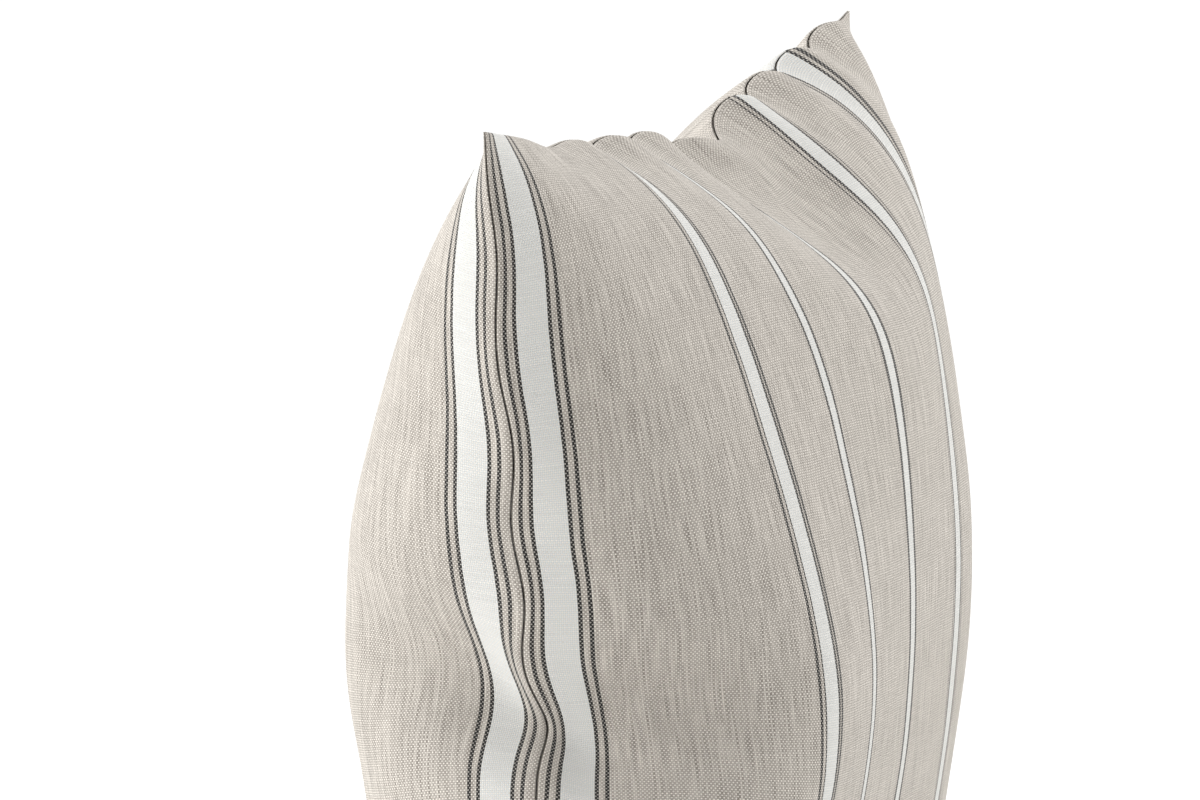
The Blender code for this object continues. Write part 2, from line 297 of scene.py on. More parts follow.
def woven_linen(weave):
    """Linen and cotton, plain woven and washed: dry and matt, with thick and thin stretches of
    thread, rows that wander a little, and stripes whose edges are dotted by the crossing threads."""
    made, tree, shader = new_material(
        "plain_woven_linen", roughness=0.95, sheen_weight=0.1, sheen_roughness=0.5
    )
    wander_mm, wander_every_mm = 1.8, 40
    slub_across, slub_along = 1.0, 0.045
    weft_in_black = 0.5
    cloth = add_node(tree, "ShaderNodeAttribute", attribute_name="cloth", out="Vector")
    panel = add_node(tree, "ShaderNodeSeparateXYZ", {"Vector": cloth}, out="Z")
    noise = add_node(
        tree, "ShaderNodeTexNoise",
        {"Vector": cloth, "Scale": 1 / wander_every_mm, "Detail": 6.0}, out="Color",
    )
    drift = add_node(tree, "ShaderNodeVectorMath", {0: noise, 1: (-0.5, -0.5, -0.5)}, operation="ADD")
    drift = add_node(tree, "ShaderNodeVectorMath", {0: drift, "Scale": wander_mm}, operation="SCALE")
    strayed = add_node(tree, "ShaderNodeVectorMath", {0: cloth, 1: drift}, operation="ADD")
    spacing = (weave.warp * MM, weave.weft * MM, 1.0)
    threads = add_node(tree, "ShaderNodeVectorMath", {0: strayed, 1: spacing}, operation="DIVIDE")
    threads = add_node(tree, "ShaderNodeVectorMath", {0: threads, 1: (1, 1, 0)}, operation="MULTIPLY")
    numbers = add_node(tree, "ShaderNodeVectorMath", {0: threads}, operation="FLOOR")
    inside = add_node(tree, "ShaderNodeVectorMath", {0: threads, 1: (0, 0, 0.5)}, operation="ADD")
    warp_over = add_node(tree, "ShaderNodeTexChecker", {"Vector": inside, "Scale": 1.0}, out="Fac")
    middles = add_node(tree, "ShaderNodeVectorMath", {0: numbers, 1: (0.5, 0.5, 0)}, operation="ADD")
    placed = add_node(tree, "ShaderNodeVectorMath", {0: middles, 1: spacing}, operation="MULTIPLY")
    across = add_node(tree, "ShaderNodeSeparateXYZ", {"Vector": placed}, out="X")
    wide = nearest_stripe(tree, across, WIDE_STRIPES)
    narrow = nearest_stripe(tree, across, NARROW_STRIPES)
    white = add_node(
        tree, "ShaderNodeMath",
        {0: band_mask(tree, wide, (WIDE_WHITE,)), 1: band_mask(tree, narrow, (NARROW_WHITE,))},
        operation="MAXIMUM",
    )
    black = add_node(
        tree, "ShaderNodeMath",
        {0: band_mask(tree, wide, WIDE_BLACK), 1: band_mask(tree, narrow, NARROW_BLACK)},
        operation="MAXIMUM",
    )
    warp_slub = slubs(tree, numbers, panel, (slub_across, slub_along, 0))
    weft_slub = slubs(tree, numbers, panel, (slub_along, slub_across, 0))
    pale = add_node(tree, "ShaderNodeMapRange", {"Value": warp_slub, "From Min": 0.32, "From Max": 0.7})
    upright = rgba(weave.ground)
    for share, dyed in ((pale, weave.ground_pale), (white, weave.white), (black, weave.black)):
        upright = add_node(
            tree, "ShaderNodeMix", {"Factor": share, "A": upright, "B": rgba(dyed)},
            data_type="RGBA", out="Result",
        )
    paler = add_node(
        tree, "ShaderNodeMapRange",
        {"Value": weft_slub, "From Min": 0.3, "From Max": 0.7, "To Min": 0.82, "To Max": 1.12},
    )
    crossing = add_node(
        tree, "ShaderNodeMix", {"Factor": 1.0, "A": rgba(weave.crossing), "B": paler},
        data_type="RGBA", blend_type="MULTIPLY", out="Result",
    )
    relief, weft_seen = thread_relief(tree, threads, warp_over)
    between = add_node(
        tree, "ShaderNodeMapRange", {"Value": black, "To Min": 1.0, "To Max": weft_in_black}
    )
    weft_seen = add_node(tree, "ShaderNodeMath", {0: weft_seen, 1: between}, operation="MULTIPLY")
    woven = add_node(
        tree, "ShaderNodeMix", {"Factor": weft_seen, "A": upright, "B": crossing},
        data_type="RGBA", out="Result",
    )
    # Painted shade: the weave's colour is darkened where the threads dip below the ones crossing them.
    shadow = add_node(
        tree, "ShaderNodeMapRange", {"Value": relief, "From Max": 0.55, "To Min": 0.72, "To Max": 1.0}
    )
    finished = add_node(
        tree, "ShaderNodeMix", {"Factor": 1.0, "A": woven, "B": shadow},
        data_type="RGBA", blend_type="MULTIPLY", out="Result",
    )
    tree.links.new(finished, shader.inputs["Base Color"])
    bump = add_node(tree, "ShaderNodeBump", {"Strength": 0.6, "Distance": 0.00025, "Height": relief})
    tree.links.new(bump, shader.inputs["Normal"])
    return made


def fine_weave(name, dyed, spacing, **constants):
    """A plain cloth of one colour, woven too finely for its threads to be told apart."""
    made, tree, shader = new_material(name, **constants)
    place = add_node(tree, "ShaderNodeTexCoord", out="Object")
    threads = add_node(tree, "ShaderNodeVectorMath", {0: place, "Scale": 1 / spacing}, operation="SCALE")
    checks = add_node(tree, "ShaderNodeTexChecker", {"Vector": threads, "Scale": 1.0}, out="Fac")
    noise = add_node(
        tree, "ShaderNodeTexNoise", {"Vector": threads, "Scale": 0.08, "Detail": 4.0}, out="Fac"
    )
    shade = add_node(tree, "ShaderNodeMapRange", {"Value": noise, "To Min": 0.82, "To Max": 1.08})
    tinted = add_node(
        tree, "ShaderNodeMix", {"Factor": 1.0, "A": rgba(dyed), "B": shade},
        data_type="RGBA", blend_type="MULTIPLY", out="Result",
    )
    tree.links.new(tinted, shader.inputs["Base Color"])
    bump = add_node(tree, "ShaderNodeBump", {"Strength": 0.3, "Distance": spacing / 3, "Height": checks})
    tree.links.new(bump, shader.inputs["Normal"])
    return made


def mottled(name, dyed, grain, depth, roughness, **constants):
    """A material whose shade, gloss and surface vary a little over its grain."""
    made, tree, shader = new_material(name, **constants)
    place = add_node(tree, "ShaderNodeTexCoord", out="Object")
    noise = add_node(
        tree, "ShaderNodeTexNoise", {"Vector": place, "Scale": 1 / grain, "Detail": 5.0}, out="Fac"
    )
    shade = add_node(tree, "ShaderNodeMapRange", {"Value": noise, "To Min": 0.85, "To Max": 1.1})
    tinted = add_node(
        tree, "ShaderNodeMix", {"Factor": 1.0, "A": rgba(dyed), "B": shade},
        data_type="RGBA", blend_type="MULTIPLY", out="Result",
    )
    tree.links.new(tinted, shader.inputs["Base Color"])
    gloss = add_node(
        tree, "ShaderNodeMapRange",
        {"Value": noise, "To Min": roughness * 0.8, "To Max": min(roughness * 1.25, 1.0)},
    )
    tree.links.new(gloss, shader.inputs["Roughness"])
    bump = add_node(tree, "ShaderNodeBump", {"Strength": 0.5, "Distance": depth, "Height": noise})
    tree.links.new(bump, shader.inputs["Normal"])
    return made


# ---------------------------------------------------------------- the cover's form


def smooth(t):
    """0 to 1 along an S-curve."""
    t = np.clip(t, 0.0, 1.0)
    return t * t * (3 - 2 * t)


def flat_panel(cover, cells):
    """Places across and up a flat panel, in metres from its middle."""
    steps = np.linspace(-0.5, 0.5, cells + 1)
    return np.meshgrid(steps * cover.width, steps * cover.height, indexing="ij")


def joined_numbers(across):
    """Point numbers of both panels, which share their sewn edges but not the zipper's slit."""
    numbers = np.arange(across.size).reshape(across.shape)
    own = np.ones(across.shape, bool)
    own[[0, -1], :] = False
    own[:, -1] = False
    own[:, 0] = np.abs(across[:, 0]) < TAPE_REACH
    second = numbers.copy()
    second[own] = across.size + np.arange(own.sum())
    return np.stack([numbers, second])


def laid_out(across, up, gather=0.09, gap=0.002, unevenness=0.0006, seed=3):
    """The empty cover before it is filled: flat, but with its bottom seam drawn up to the zipper,
    which keeps it straight. Both panels' points, front first."""
    near_zipper = smooth(1 - (up - up[0, 0]) / gather)
    outside = np.clip((np.abs(across) - TAPE_REACH) / (across[-1, 0] - TAPE_REACH), 0, 1)
    seam_x = np.minimum(np.abs(across), TAPE_REACH) + outside * (HALF_WIDTH - TAPE_REACH)
    seam_z = SLIT_Z - CENTRE_Z - smooth(outside) * (SLIT_Z - CENTRE_Z + HALF_HEIGHT)
    x = across + (np.sign(across) * seam_x - across) * near_zipper
    z = up + (seam_z - up[0, 0]) * near_zipper
    scatter = np.random.default_rng(seed).normal(0, unevenness, (2, *across.shape))
    panels = []
    for side, uneven in zip(SIDES, scatter):
        y = side * (gap + (SLIT_HALF - gap) * near_zipper * (1 - outside)) + uneven
        y[[0, -1], :] = 0
        y[:, -1] = 0
        y[:, 0] = np.where(np.abs(across[:, 0]) < TAPE_REACH, side * SLIT_HALF, 0)
        panels.append(np.stack([x, y, z], axis=-1))
    return panels


def quads(numbers, outward):
    """The four corners of each cell of a grid of point numbers, facing forwards or backwards."""
    corners = [numbers[:-1, :-1], numbers[1:, :-1], numbers[1:, 1:], numbers[:-1, 1:]]
    faces = np.stack(corners, axis=-1).reshape(-1, 4)
    return faces if outward < 0 else faces[:, ::-1]


def mesh_object(name, points, faces):
    """A linked mesh object made from points and faces."""
    mesh = bpy.data.meshes.new(name)
    mesh.from_pydata(np.asarray(points).tolist(), [], np.asarray(faces).tolist())
    mesh.update()
    made = bpy.data.objects.new(name, mesh)
    bpy.context.scene.collection.objects.link(made)
    return made


def evaluated_points(obj):
    """An object's points after its modifiers, at the current moment."""
    evaluated = obj.evaluated_get(bpy.context.evaluated_depsgraph_get())
    mesh = evaluated.to_mesh()
    points = np.empty(len(mesh.vertices) * 3)
    mesh.vertices.foreach_get("co", points)
    evaluated.to_mesh_clear()
    return points.reshape(-1, 3)


def fill_cover(cover, cells, steps):
    """Inflates the sewn cover until it holds its filling, and returns both panels' points."""
    across, up = flat_panel(cover, cells)
    numbers = joined_numbers(across)
    panels = laid_out(across, up)
    start = np.zeros((numbers.max() + 1, 3))
    flat = start.copy()
    for order, points, side in zip(numbers[::-1], panels[::-1], SIDES[::-1]):
        start[order] = points
        flat[order] = np.stack([across, np.zeros_like(across), up], axis=-1)
    faces = np.concatenate([quads(order, side) for order, side in zip(numbers, SIDES)])
    bag = mesh_object("cover_while_filling", start, faces)
    bag.shape_key_add(name="standing")
    cut = bag.shape_key_add(name="flat")
    cut.data.foreach_set("co", flat.astype(np.float32).ravel())
    zipped = bag.vertex_groups.new(name="zipper_seam")
    zipped.add(numbers[:, np.abs(across[:, 0]) < TAPE_REACH, 0].ravel().tolist(), 1.0, "REPLACE")
    step = bag.modifiers.new("filling", "CLOTH")
    cloth = step.settings
    cloth.quality = 8
    cloth.mass = 0.3
    cloth.air_damping = 8
    cloth.tension_stiffness = cloth.compression_stiffness = cover.stretch
    cloth.shear_stiffness = cover.stretch * 0.6
    cloth.bending_stiffness = cover.fold
    cloth.tension_damping = cloth.compression_damping = cloth.shear_damping = 5
    cloth.bending_damping = 0.5
    cloth.use_pressure = True
    cloth.use_pressure_volume = True
    cloth.target_volume = cover.volume
    cloth.uniform_pressure_force = 2.0
    cloth.rest_shape_key = cut
    cloth.vertex_group_mass = "zipper_seam"
    cloth.effector_weights.gravity = 0
    step.collision_settings.use_collision = False
    step.point_cache.frame_end = steps
    scene = bpy.context.scene
    scene.frame_end = steps
    for moment in range(1, steps + 1):
        scene.frame_set(moment)
    filled = evaluated_points(bag)[numbers]
    scene.frame_set(1)
    bpy.data.objects.remove(bag)
    return filled


def eased(panel, rounds=6):
    """A panel with its sharpest creases eased. Its side and top seams are eased only along
    themselves, and its bottom seam keeps its place round the zipper."""
    bottom = panel[:, 0].copy()
    for _ in range(rounds):
        for along in (panel, panel.swapaxes(0, 1)):
            along[1:-1] = (along[:-2] + 2 * along[1:-1] + along[2:]) / 4
        panel[:, 0] = bottom
    return panel


def standing(filled, cover):
    """The filled cover turned left to right and brought to its standing size, with its filling
    settled unevenly. The zipper's stretch of the seam keeps its place."""
    full_depth_above = 0.06
    filled = np.stack([eased(panel) for panel in filled])
    points = filled[:, ::-1] * (-HALF_WIDTH / np.abs(filled[..., 0]).max(), 1, 1)
    z = points[..., 2] + CENTRE_Z
    rise = (COVER_HIGH.z - SLIT_Z) / (z.max() - SLIT_Z)
    drop = (SLIT_Z + FOOT_PRESS) / (SLIT_Z - z.min())
    z = SLIT_Z + (z - SLIT_Z) * np.where(z > SLIT_Z, rise, drop) - CENTRE_Z
    raised = smooth((z + CENTRE_Z - SLIT_Z) / full_depth_above)
    middle = points[..., 1].mean(axis=0)
    crown = cover.half_depth / np.abs(filled[..., 1]).max()
    depth = (points[..., 1] - middle) * (1 + (crown - 1) * raised)
    far = np.linspace(-1, 1, points.shape[1])[:, None]
    depth[0] *= 1 + cover.settling * far * (z / HALF_HEIGHT * raised)[0]
    points[..., 1] = middle + depth
    points[..., 2] = z
    return points


def spline(points, at):
    """Catmull-Rom values along the first axis, at places counted in its cells."""
    ends = (2 * points[:1] - points[1:2], 2 * points[-1:] - points[-2:-1])
    padded = np.concatenate([ends[0], points, ends[1]])
    cell = np.clip(at.astype(int), 0, len(points) - 2)
    share = (at - cell).reshape(-1, *[1] * (points.ndim - 1))
    before, start, end, after = (padded[cell + k] for k in range(4))
    bend = 2 * before - 5 * start + 4 * end - after
    turn = 3 * (start - end) + after - before
    return start + 0.5 * share * (end - before + share * (bend + share * turn))


def resampled(points, across, up):
    """A panel's points at other places, given as shares from 0 to 1 across and up it."""
    rows = spline(points, across * (points.shape[0] - 1))
    return spline(rows.swapaxes(0, 1), up * (points.shape[1] - 1)).swapaxes(0, 1)


def crowded_places(flat_size, spacing):
    """Places across a panel from 0 to 1, closer together in the last millimetres by its seams."""
    beside_seam = np.array([0.0, 0.0005, 0.0011, 0.0019, 0.0030, 0.0045, 0.0065])
    middle = flat_size - 2 * beside_seam[-1]
    count = round(middle / spacing)
    even = beside_seam[-1] + middle * np.arange(1, count) / count
    return np.concatenate([beside_seam, even, flat_size - beside_seam[::-1]]) / flat_size


def outward_normals(points, side):
    """Unit directions out of a panel, at each of its points."""
    across, up = np.gradient(points, axis=0), np.gradient(points, axis=1)
    normal = np.cross(across, up) * -side
    return normal / np.maximum(np.linalg.norm(normal, axis=-1, keepdims=True), 1e-9)


def pressed(z):
    """Heights once the weight of the pillow has flattened its lowest cloth onto the floor."""
    return np.maximum(z - SOLE_DEPTH * (1 - smooth(z / SOLE_BLEND)), 0.0)


def gathers(across, up, cover):
    """Waves that the stitches draw into the sewn edges, shared by both panels."""
    top_wave, top_reach, top_lift = 0.052, 0.028, 0.8
    side_wave, side_reach, side_share = 0.068, 0.022, 0.4
    from_top = cover.height - up
    from_side = np.minimum(across, cover.width - across)
    # The sway keeps the waves from being evenly spaced.
    top_sway = 1.3 * np.sin(across / 0.083 + 0.6) + 0.7 * np.sin(across / 0.031)
    side_sway = 1.1 * np.sin(up / 0.047)
    top_turn = across / top_wave * 2 * math.pi + top_sway
    side_turn = up / side_wave * 2 * math.pi + side_sway
    # The waves die out towards the corners, and also away from the seam.
    top_ends = smooth((across - 0.07) / 0.09) * smooth((cover.width - across) / 0.05)
    side_ends = smooth((up - 0.08) / 0.05) * smooth(from_top / 0.06)
    top = cover.gather * top_ends * np.exp(-from_top / top_reach)
    side = side_share * cover.gather * side_ends * np.exp(-from_side / side_reach)
    shift_y = top * np.cos(top_turn) + side * np.sin(side_turn)
    shift_z = top_lift * top * np.sin(top_turn)
    return np.stack([np.zeros_like(shift_y), shift_y, shift_z], axis=-1)


def shaped_panel(points, side, cover, places):
    """The finished outer face of a panel: rolled out beside its seams, and standing on its feet."""
    recess_reach, roll_start, roll_reach, lift_reach = 0.0015, 0.0012, 0.009, 0.02
    air_between = 0.00002
    points = resampled(points, *places)
    across = places[0][:, None] * cover.width
    up = places[1][None, :] * cover.height
    from_right, from_top = cover.width - across, cover.height - up
    left, right = np.exp(-across / recess_reach), np.exp(-from_right / recess_reach)
    bottom, top = np.exp(-up / recess_reach), np.exp(-from_top / recess_reach)
    to_seam = np.minimum(np.minimum(across, from_right), np.minimum(up, from_top))
    roll = cover.roll * (1 - np.exp(-to_seam / roll_start)) * np.exp(-to_seam / roll_reach)
    points = points + outward_normals(points, side) * roll[..., None]
    points[..., 0] += cover.recess * (left - right)
    points[..., 2] += cover.recess * (bottom - top)
    points[..., 1] += side * (cover.thickness + air_between) * np.exp(-to_seam / lift_reach)
    points += gathers(across, up, cover)
    points[..., 2] = pressed(points[..., 2] + CENTRE_Z)
    return points


def cloth_places(made, across, up, panel):
    """Stores where each point lies on the flat cloth, in millimetres, for the weave to follow. The
    third number keeps the panels' slubs apart."""
    apart = 37.0
    where = np.stack([across * MM, up * MM, np.full(across.shape, apart * panel)], axis=-1)
    stored = made.data.attributes.new("cloth", "FLOAT_VECTOR", "POINT")
    stored.data.foreach_set("vector", where.astype(np.float32).ravel())


def finish_object(made, material, thickness=None):
    """Gives a piece its material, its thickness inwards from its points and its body."""
    made.data.materials.append(material)
    made.data.shade_smooth()
    if thickness:
        step = made.modifiers.new("cloth_thickness", "SOLIDIFY")
        step.thickness = thickness
        step.offset = -1
    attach(made, BODY)
    return made


def grid_object(name, points, side):
    """A sheet through a grid of points, facing out of its side of the pillow."""
    numbers = np.arange(points[..., 0].size).reshape(points.shape[:2])
    return mesh_object(name, points.reshape(-1, 3), quads(numbers, side))


def tube_object(name, line, diameter, material, radii=None, closed=False):
    """A round thread or wire along a line of points."""
    curve = bpy.data.curves.new(name, "CURVE")
    curve.dimensions = "3D"
    curve.bevel_depth = diameter / 2
    curve.bevel_resolution = 1
    curve.use_fill_caps = not closed
    spline_line = curve.splines.new("POLY")
    spline_line.points.add(len(line) - 1)
    padded = np.concatenate([line, np.ones((len(line), 1))], axis=1)
    spline_line.points.foreach_set("co", padded.astype(np.float32).ravel())
    if radii is not None:
        spline_line.points.foreach_set("radius", np.asarray(radii, np.float32))
    spline_line.use_cyclic_u = closed
    made = bpy.data.objects.new(name, curve)
    bpy.context.scene.collection.objects.link(made)
    curve.materials.append(material)
    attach(made, BODY)
    return made


# ---------------------------------------------------------------- operators


class OBJECT_OT_pillow_cover(bpy.types.Operator):
    """Sew the two striped panels together, fill them and stand the pillow on its feet"""

    bl_idname = "object.pillow_cover"
    bl_label = "Pillow cover"

    def execute(self, context):
        cover, weave = context.scene.pillow_cover, context.scene.pillow_weave
        cells, steps = ((cover.cells, cover.steps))
        point_spacing = 0.0031
        filled = standing(fill_cover(cover, cells, steps), cover)
        linen = woven_linen(weave)
        places = [crowded_places(flat, point_spacing) for flat in (cover.width, cover.height)]
        across, up = np.meshgrid(*places, indexing="ij")
        settled["filled"] = filled
        settled["linen"] = linen
        settled["panels"] = []
        for panel, (name, side) in enumerate(zip(NAMES, SIDES)):
            points = shaped_panel(filled[panel], side, cover, places)
            made = grid_object(f"cover_{name}", points, side)
            shift = BACK_SHIFT / MM * panel
            cloth_places(made, across * cover.width + shift, up * cover.height, panel)
            finish_object(made, linen, cover.thickness)
            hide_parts(f"cover_{name}_panel")
            settled["panels"].append(points)
        return {"FINISHED"}


class OBJECT_OT_pillow_sewing(bpy.types.Operator):
    """Stitch the cover's side, top and bottom seams"""

    bl_idname = "object.pillow_sewing"
    bl_label = "Pillow sewing"

    def execute(self, context):
        sewing = context.scene.pillow_sewing
        # Polyester spun from short fibre: dull and faintly hairy, near the cloth's own shade.
        thread = mottled(
            "spun_polyester_thread", sewing.tint,
            grain=0.0006, depth=0.00008, roughness=0.75, sheen_weight=0.2,
        )
        settled["thread"] = thread
        seam = np.mean(settled["panels"], axis=0)
        along_bottom = np.abs(seam[:, 0, 0])
        sewn_low = along_bottom > TAPE_REACH + PAST_SLIT
        half = len(seam) // 2
        lines = {
            "left": seam[0, :],
            "right": seam[-1, :],
            "top": seam[:, -1],
            "bottom_left": seam[:half, 0][sewn_low[:half]],
            "bottom_right": seam[half:, 0][sewn_low[half:]],
        }
        inwards = {"left": (1, 0, 0), "right": (-1, 0, 0), "top": (0, 0, -1)}
        for name, line in lines.items():
            line = line + np.array(inwards.get(name, (0, 0, 1))) * sewing.depth
            line, radii = stitched(line, sewing.stitch)
            made = tube_object(
                f"stitches_{name}", line, sewing.thread, thread, radii
            )
            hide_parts(f"seam_thread_{name}")
        return {"FINISHED"}


def stitched(line, stitch, per_stitch=6, end_gap=0.003, thinnest=0.45):
    """Points along a seam, with radii that dip where the thread passes through the cloth."""
    steps = np.linalg.norm(np.diff(line, axis=0), axis=1)
    run = np.concatenate([[0], np.cumsum(steps)])
    count = int((run[-1] - 2 * end_gap) / stitch) * per_stitch
    at = np.linspace(end_gap, run[-1] - end_gap, count + 1)
    points = np.stack([np.interp(at, run, line[:, k]) for k in range(3)], axis=-1)
    phase = np.arange(count + 1) % per_stitch / per_stitch
    return points, thinnest + (1 - thinnest) * np.sin(phase * math.pi) ** 0.5


class OBJECT_OT_pillow_insert(bpy.types.Operator):
    """Make the insert: its two cotton panels, their seam and the fibre filling"""

    bl_idname = "object.pillow_insert"
    bl_label = "Pillow insert"

    def execute(self, context):
        insert = context.scene.pillow_insert
        # Bleached cotton, closely woven: white, dull and nearly smooth. Its threads are drawn a
        # little coarser than real ones, so that they show.
        cotton = fine_weave(
            "plain_woven_cambric", insert.cotton, spacing=0.0004, roughness=0.9, sheen_weight=0.1
        )
        # Crimped polyester, carded and left loose: soft white tufts with no shine.
        fibre = mottled(
            "loose_polyester_fibre", insert.fibre,
            grain=0.004, depth=0.0015, roughness=0.95, sheen_weight=0.4,
        )
        case = inner_form(insert.case_inset, depth=0.004, above_zipper=0.0032)
        air_between = 0.0002
        gap = insert.thickness + air_between
        for points, name, side in zip(case, NAMES, SIDES):
            points[..., 1] += side * gap
            made = grid_object(f"insert_{name}", points, side)
            finish_object(made, cotton, insert.thickness)
            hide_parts(f"insert_{name}_panel")
        edge = np.mean(case, axis=0)
        loop = np.concatenate([edge[:-1, 0], edge[-1, :-1], edge[:0:-1, -1], edge[0, :0:-1]])
        made = tube_object(
            "insert_stitches", loop, insert.thread, settled["thread"], closed=True
        )
        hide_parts("insert_seam_thread")
        halves = inner_form(insert.fill_inset, depth=0.006, above_zipper=0.0048)
        made = closed_form("insert_filling", halves)
        finish_object(made, fibre)
        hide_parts("insert_fill")
        return {"FINISHED"}


def inner_form(inset, depth, above_zipper, cells=60):
    """Both halves of a layer inside the cover: inset from its seams, a depth below its cloth, and
    lifted clear of the zipper."""
    cover = bpy.context.scene.pillow_cover
    lowest = 0.001
    places = np.linspace(inset / cover.width, 1 - inset / cover.width, cells + 1)
    halves = []
    for points, side in zip(settled["filled"], SIDES):
        points = resampled(points, places, places)
        points = points - outward_normals(points, side) * depth
        points[..., 2] = pressed(points[..., 2] + CENTRE_Z)
        beside = np.clip(np.abs(points[..., 1]) - TAPE_HIGH.y, 0, None)
        past_end = np.clip(np.abs(points[..., 0]) - TAPE_REACH - PAST_SLIT, 0, None)
        floor = TAPE_HIGH.z + above_zipper - beside - past_end
        points[..., 2] = np.maximum(points[..., 2], np.maximum(floor, above_zipper - lowest))
        halves.append(points)
    seam = np.mean(halves, axis=0)
    for points in halves:
        for edge in (np.s_[0, :], np.s_[-1, :], np.s_[:, 0], np.s_[:, -1]):
            points[edge] = seam[edge]
    return halves


def closed_form(name, halves):
    """One closed body of a front and a back half that meet along their edges."""
    numbers = np.arange(halves[0][..., 0].size).reshape(halves[0].shape[:2])
    second = numbers.copy()
    inner = second[1:-1, 1:-1]
    inner[:] = numbers.size + np.arange(inner.size).reshape(inner.shape)
    points = np.zeros((second.max() + 1, 3))
    points[second] = halves[1]
    points[numbers] = halves[0]
    faces = np.concatenate([quads(order, side) for order, side in zip((numbers, second), SIDES)])
    return mesh_object(name, points, faces)


class OBJECT_OT_pillow_zipper(bpy.types.Operator):
    """Make the zipper's tapes and coils, face the slit and finish the metal pieces"""

    bl_idname = "object.pillow_zipper"
    bl_label = "Pillow zipper"

    def execute(self, context):
        zipper, cover = context.scene.pillow_zipper, context.scene.pillow_cover
        # Polyester woven into tape: denser and flatter than linen, with no slubs. The twill's fine
        # diagonals wouldn't show, so it is drawn as small checks.
        tape = fine_weave(
            "twill_woven_polyester", zipper.tape, spacing=0.0005, roughness=0.8, sheen_weight=0.1
        )
        # Nylon drawn into wire: smooth, with a soft highlight along each turn.
        nylon = mottled(
            "drawn_nylon_monofilament", zipper.nylon, grain=0.002, depth=0.00002, roughness=0.38
        )
        # Nickel on tumbled metal: warm grey, with blurred reflections and rounded edges.
        nickel = mottled(
            "tumbled_nickel_plate", zipper.nickel,
            grain=0.0012, depth=0.00002, roughness=0.3, metallic=1.0,
        )
        for name, side in zip(NAMES, SIDES):
            self.tape(name, side, tape)
            self.coil(name, side, zipper, nylon)
            self.facing(name, side, cover)
        for node in (
            "zipper_slider", "zipper_pull_tab", "zipper_bottom_stop",
            "zipper_top_stop_front", "zipper_top_stop_back",
        ):
            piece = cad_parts[node]
            piece.data.materials.clear()
            piece.data.materials.append(nickel)
        return {"FINISHED"}

    def tape(self, name, side, material):
        """A woven tape with a corded inner edge, waved a little by its stitches."""
        thickness, turned_edge = 0.0005, 0.001
        cord_height, cord_reach = 0.00008, 0.0008
        ripple, stitch = 0.00004, 0.0028
        along = np.linspace(-TAPE_REACH, TAPE_REACH, 249)
        over = np.linspace(TAPE_LOW.y, TAPE_HIGH.y, 9)
        x, y = np.meshgrid(along, over, indexing="ij")
        cord = cord_height * np.exp(-(y - TAPE_LOW.y) / cord_reach)
        z = ZIPPER_Z + thickness / 2 + cord + ripple * np.sin(x / stitch * math.pi)
        points = np.stack([x, side * y, z], axis=-1)
        made = grid_object(f"tape_{name}", points, side)
        finish_object(made, material, thickness)
        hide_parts(f"zipper_tape_{name}")

    def coil(self, name, side, zipper, material, per_turn=10):
        """A spiral of nylon whose turns stop short of the slider's post."""
        turns = int((COIL_HIGH.x - COIL_LOW.x - zipper.wire) / zipper.pitch)
        around = np.arange(turns * per_turn + 1) / per_turn * 2 * math.pi
        inner = zipper.post_room + zipper.wire / 2
        outer = COIL_HIGH.y - zipper.wire / 2
        tall = (COIL_HIGH.z - COIL_LOW.z - zipper.wire) / 2
        x = COIL_LOW.x + zipper.wire / 2 + zipper.pitch * (around / (2 * math.pi))
        y = side * ((inner + outer) / 2 - (outer - inner) / 2 * np.cos(around + math.pi * (side > 0)))
        z = ZIPPER_Z + tall * np.sin(around)
        made = tube_object(
            f"coil_{name}", np.stack([x, y, z], axis=-1), zipper.wire, material
        )
        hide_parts(f"zipper_coil_{name}")

    def facing(self, name, side, cover):
        """The cover's cloth where it turns in at the slit and is sewn under the tape."""
        along = np.linspace(-TAPE_REACH, TAPE_REACH, 125)
        slit = SLIT_HALF + cover.thickness
        under_tape = SLIT_Z + 0.0041
        inner_thickness = cover.thickness * 0.6
        profile = np.array([
            (slit + 0.0008, SLIT_Z + 0.0004), (slit + 0.0002, SLIT_Z + 0.0018),
            (slit + 0.0004, SLIT_Z + 0.0034), (slit + 0.0014, SLIT_Z + 0.0040),
            (slit + 0.0034, under_tape), (TAPE_HIGH.y, under_tape),
        ])
        x = np.repeat(along[:, None], len(profile), axis=1)
        y = np.repeat(side * profile[None, :, 0], len(along), axis=0)
        z = np.repeat(profile[None, :, 1], len(along), axis=0)
        made = grid_object(f"slit_facing_{name}", np.stack([x, y, z], axis=-1), side)
        run = np.concatenate([[0], np.cumsum(np.linalg.norm(np.diff(profile, axis=0), axis=1))])
        up = np.repeat(-run[None, :], len(along), axis=0)
        cloth_places(made, x + cover.width / 2, up, side)
        finish_object(made, settled["linen"], inner_thickness)


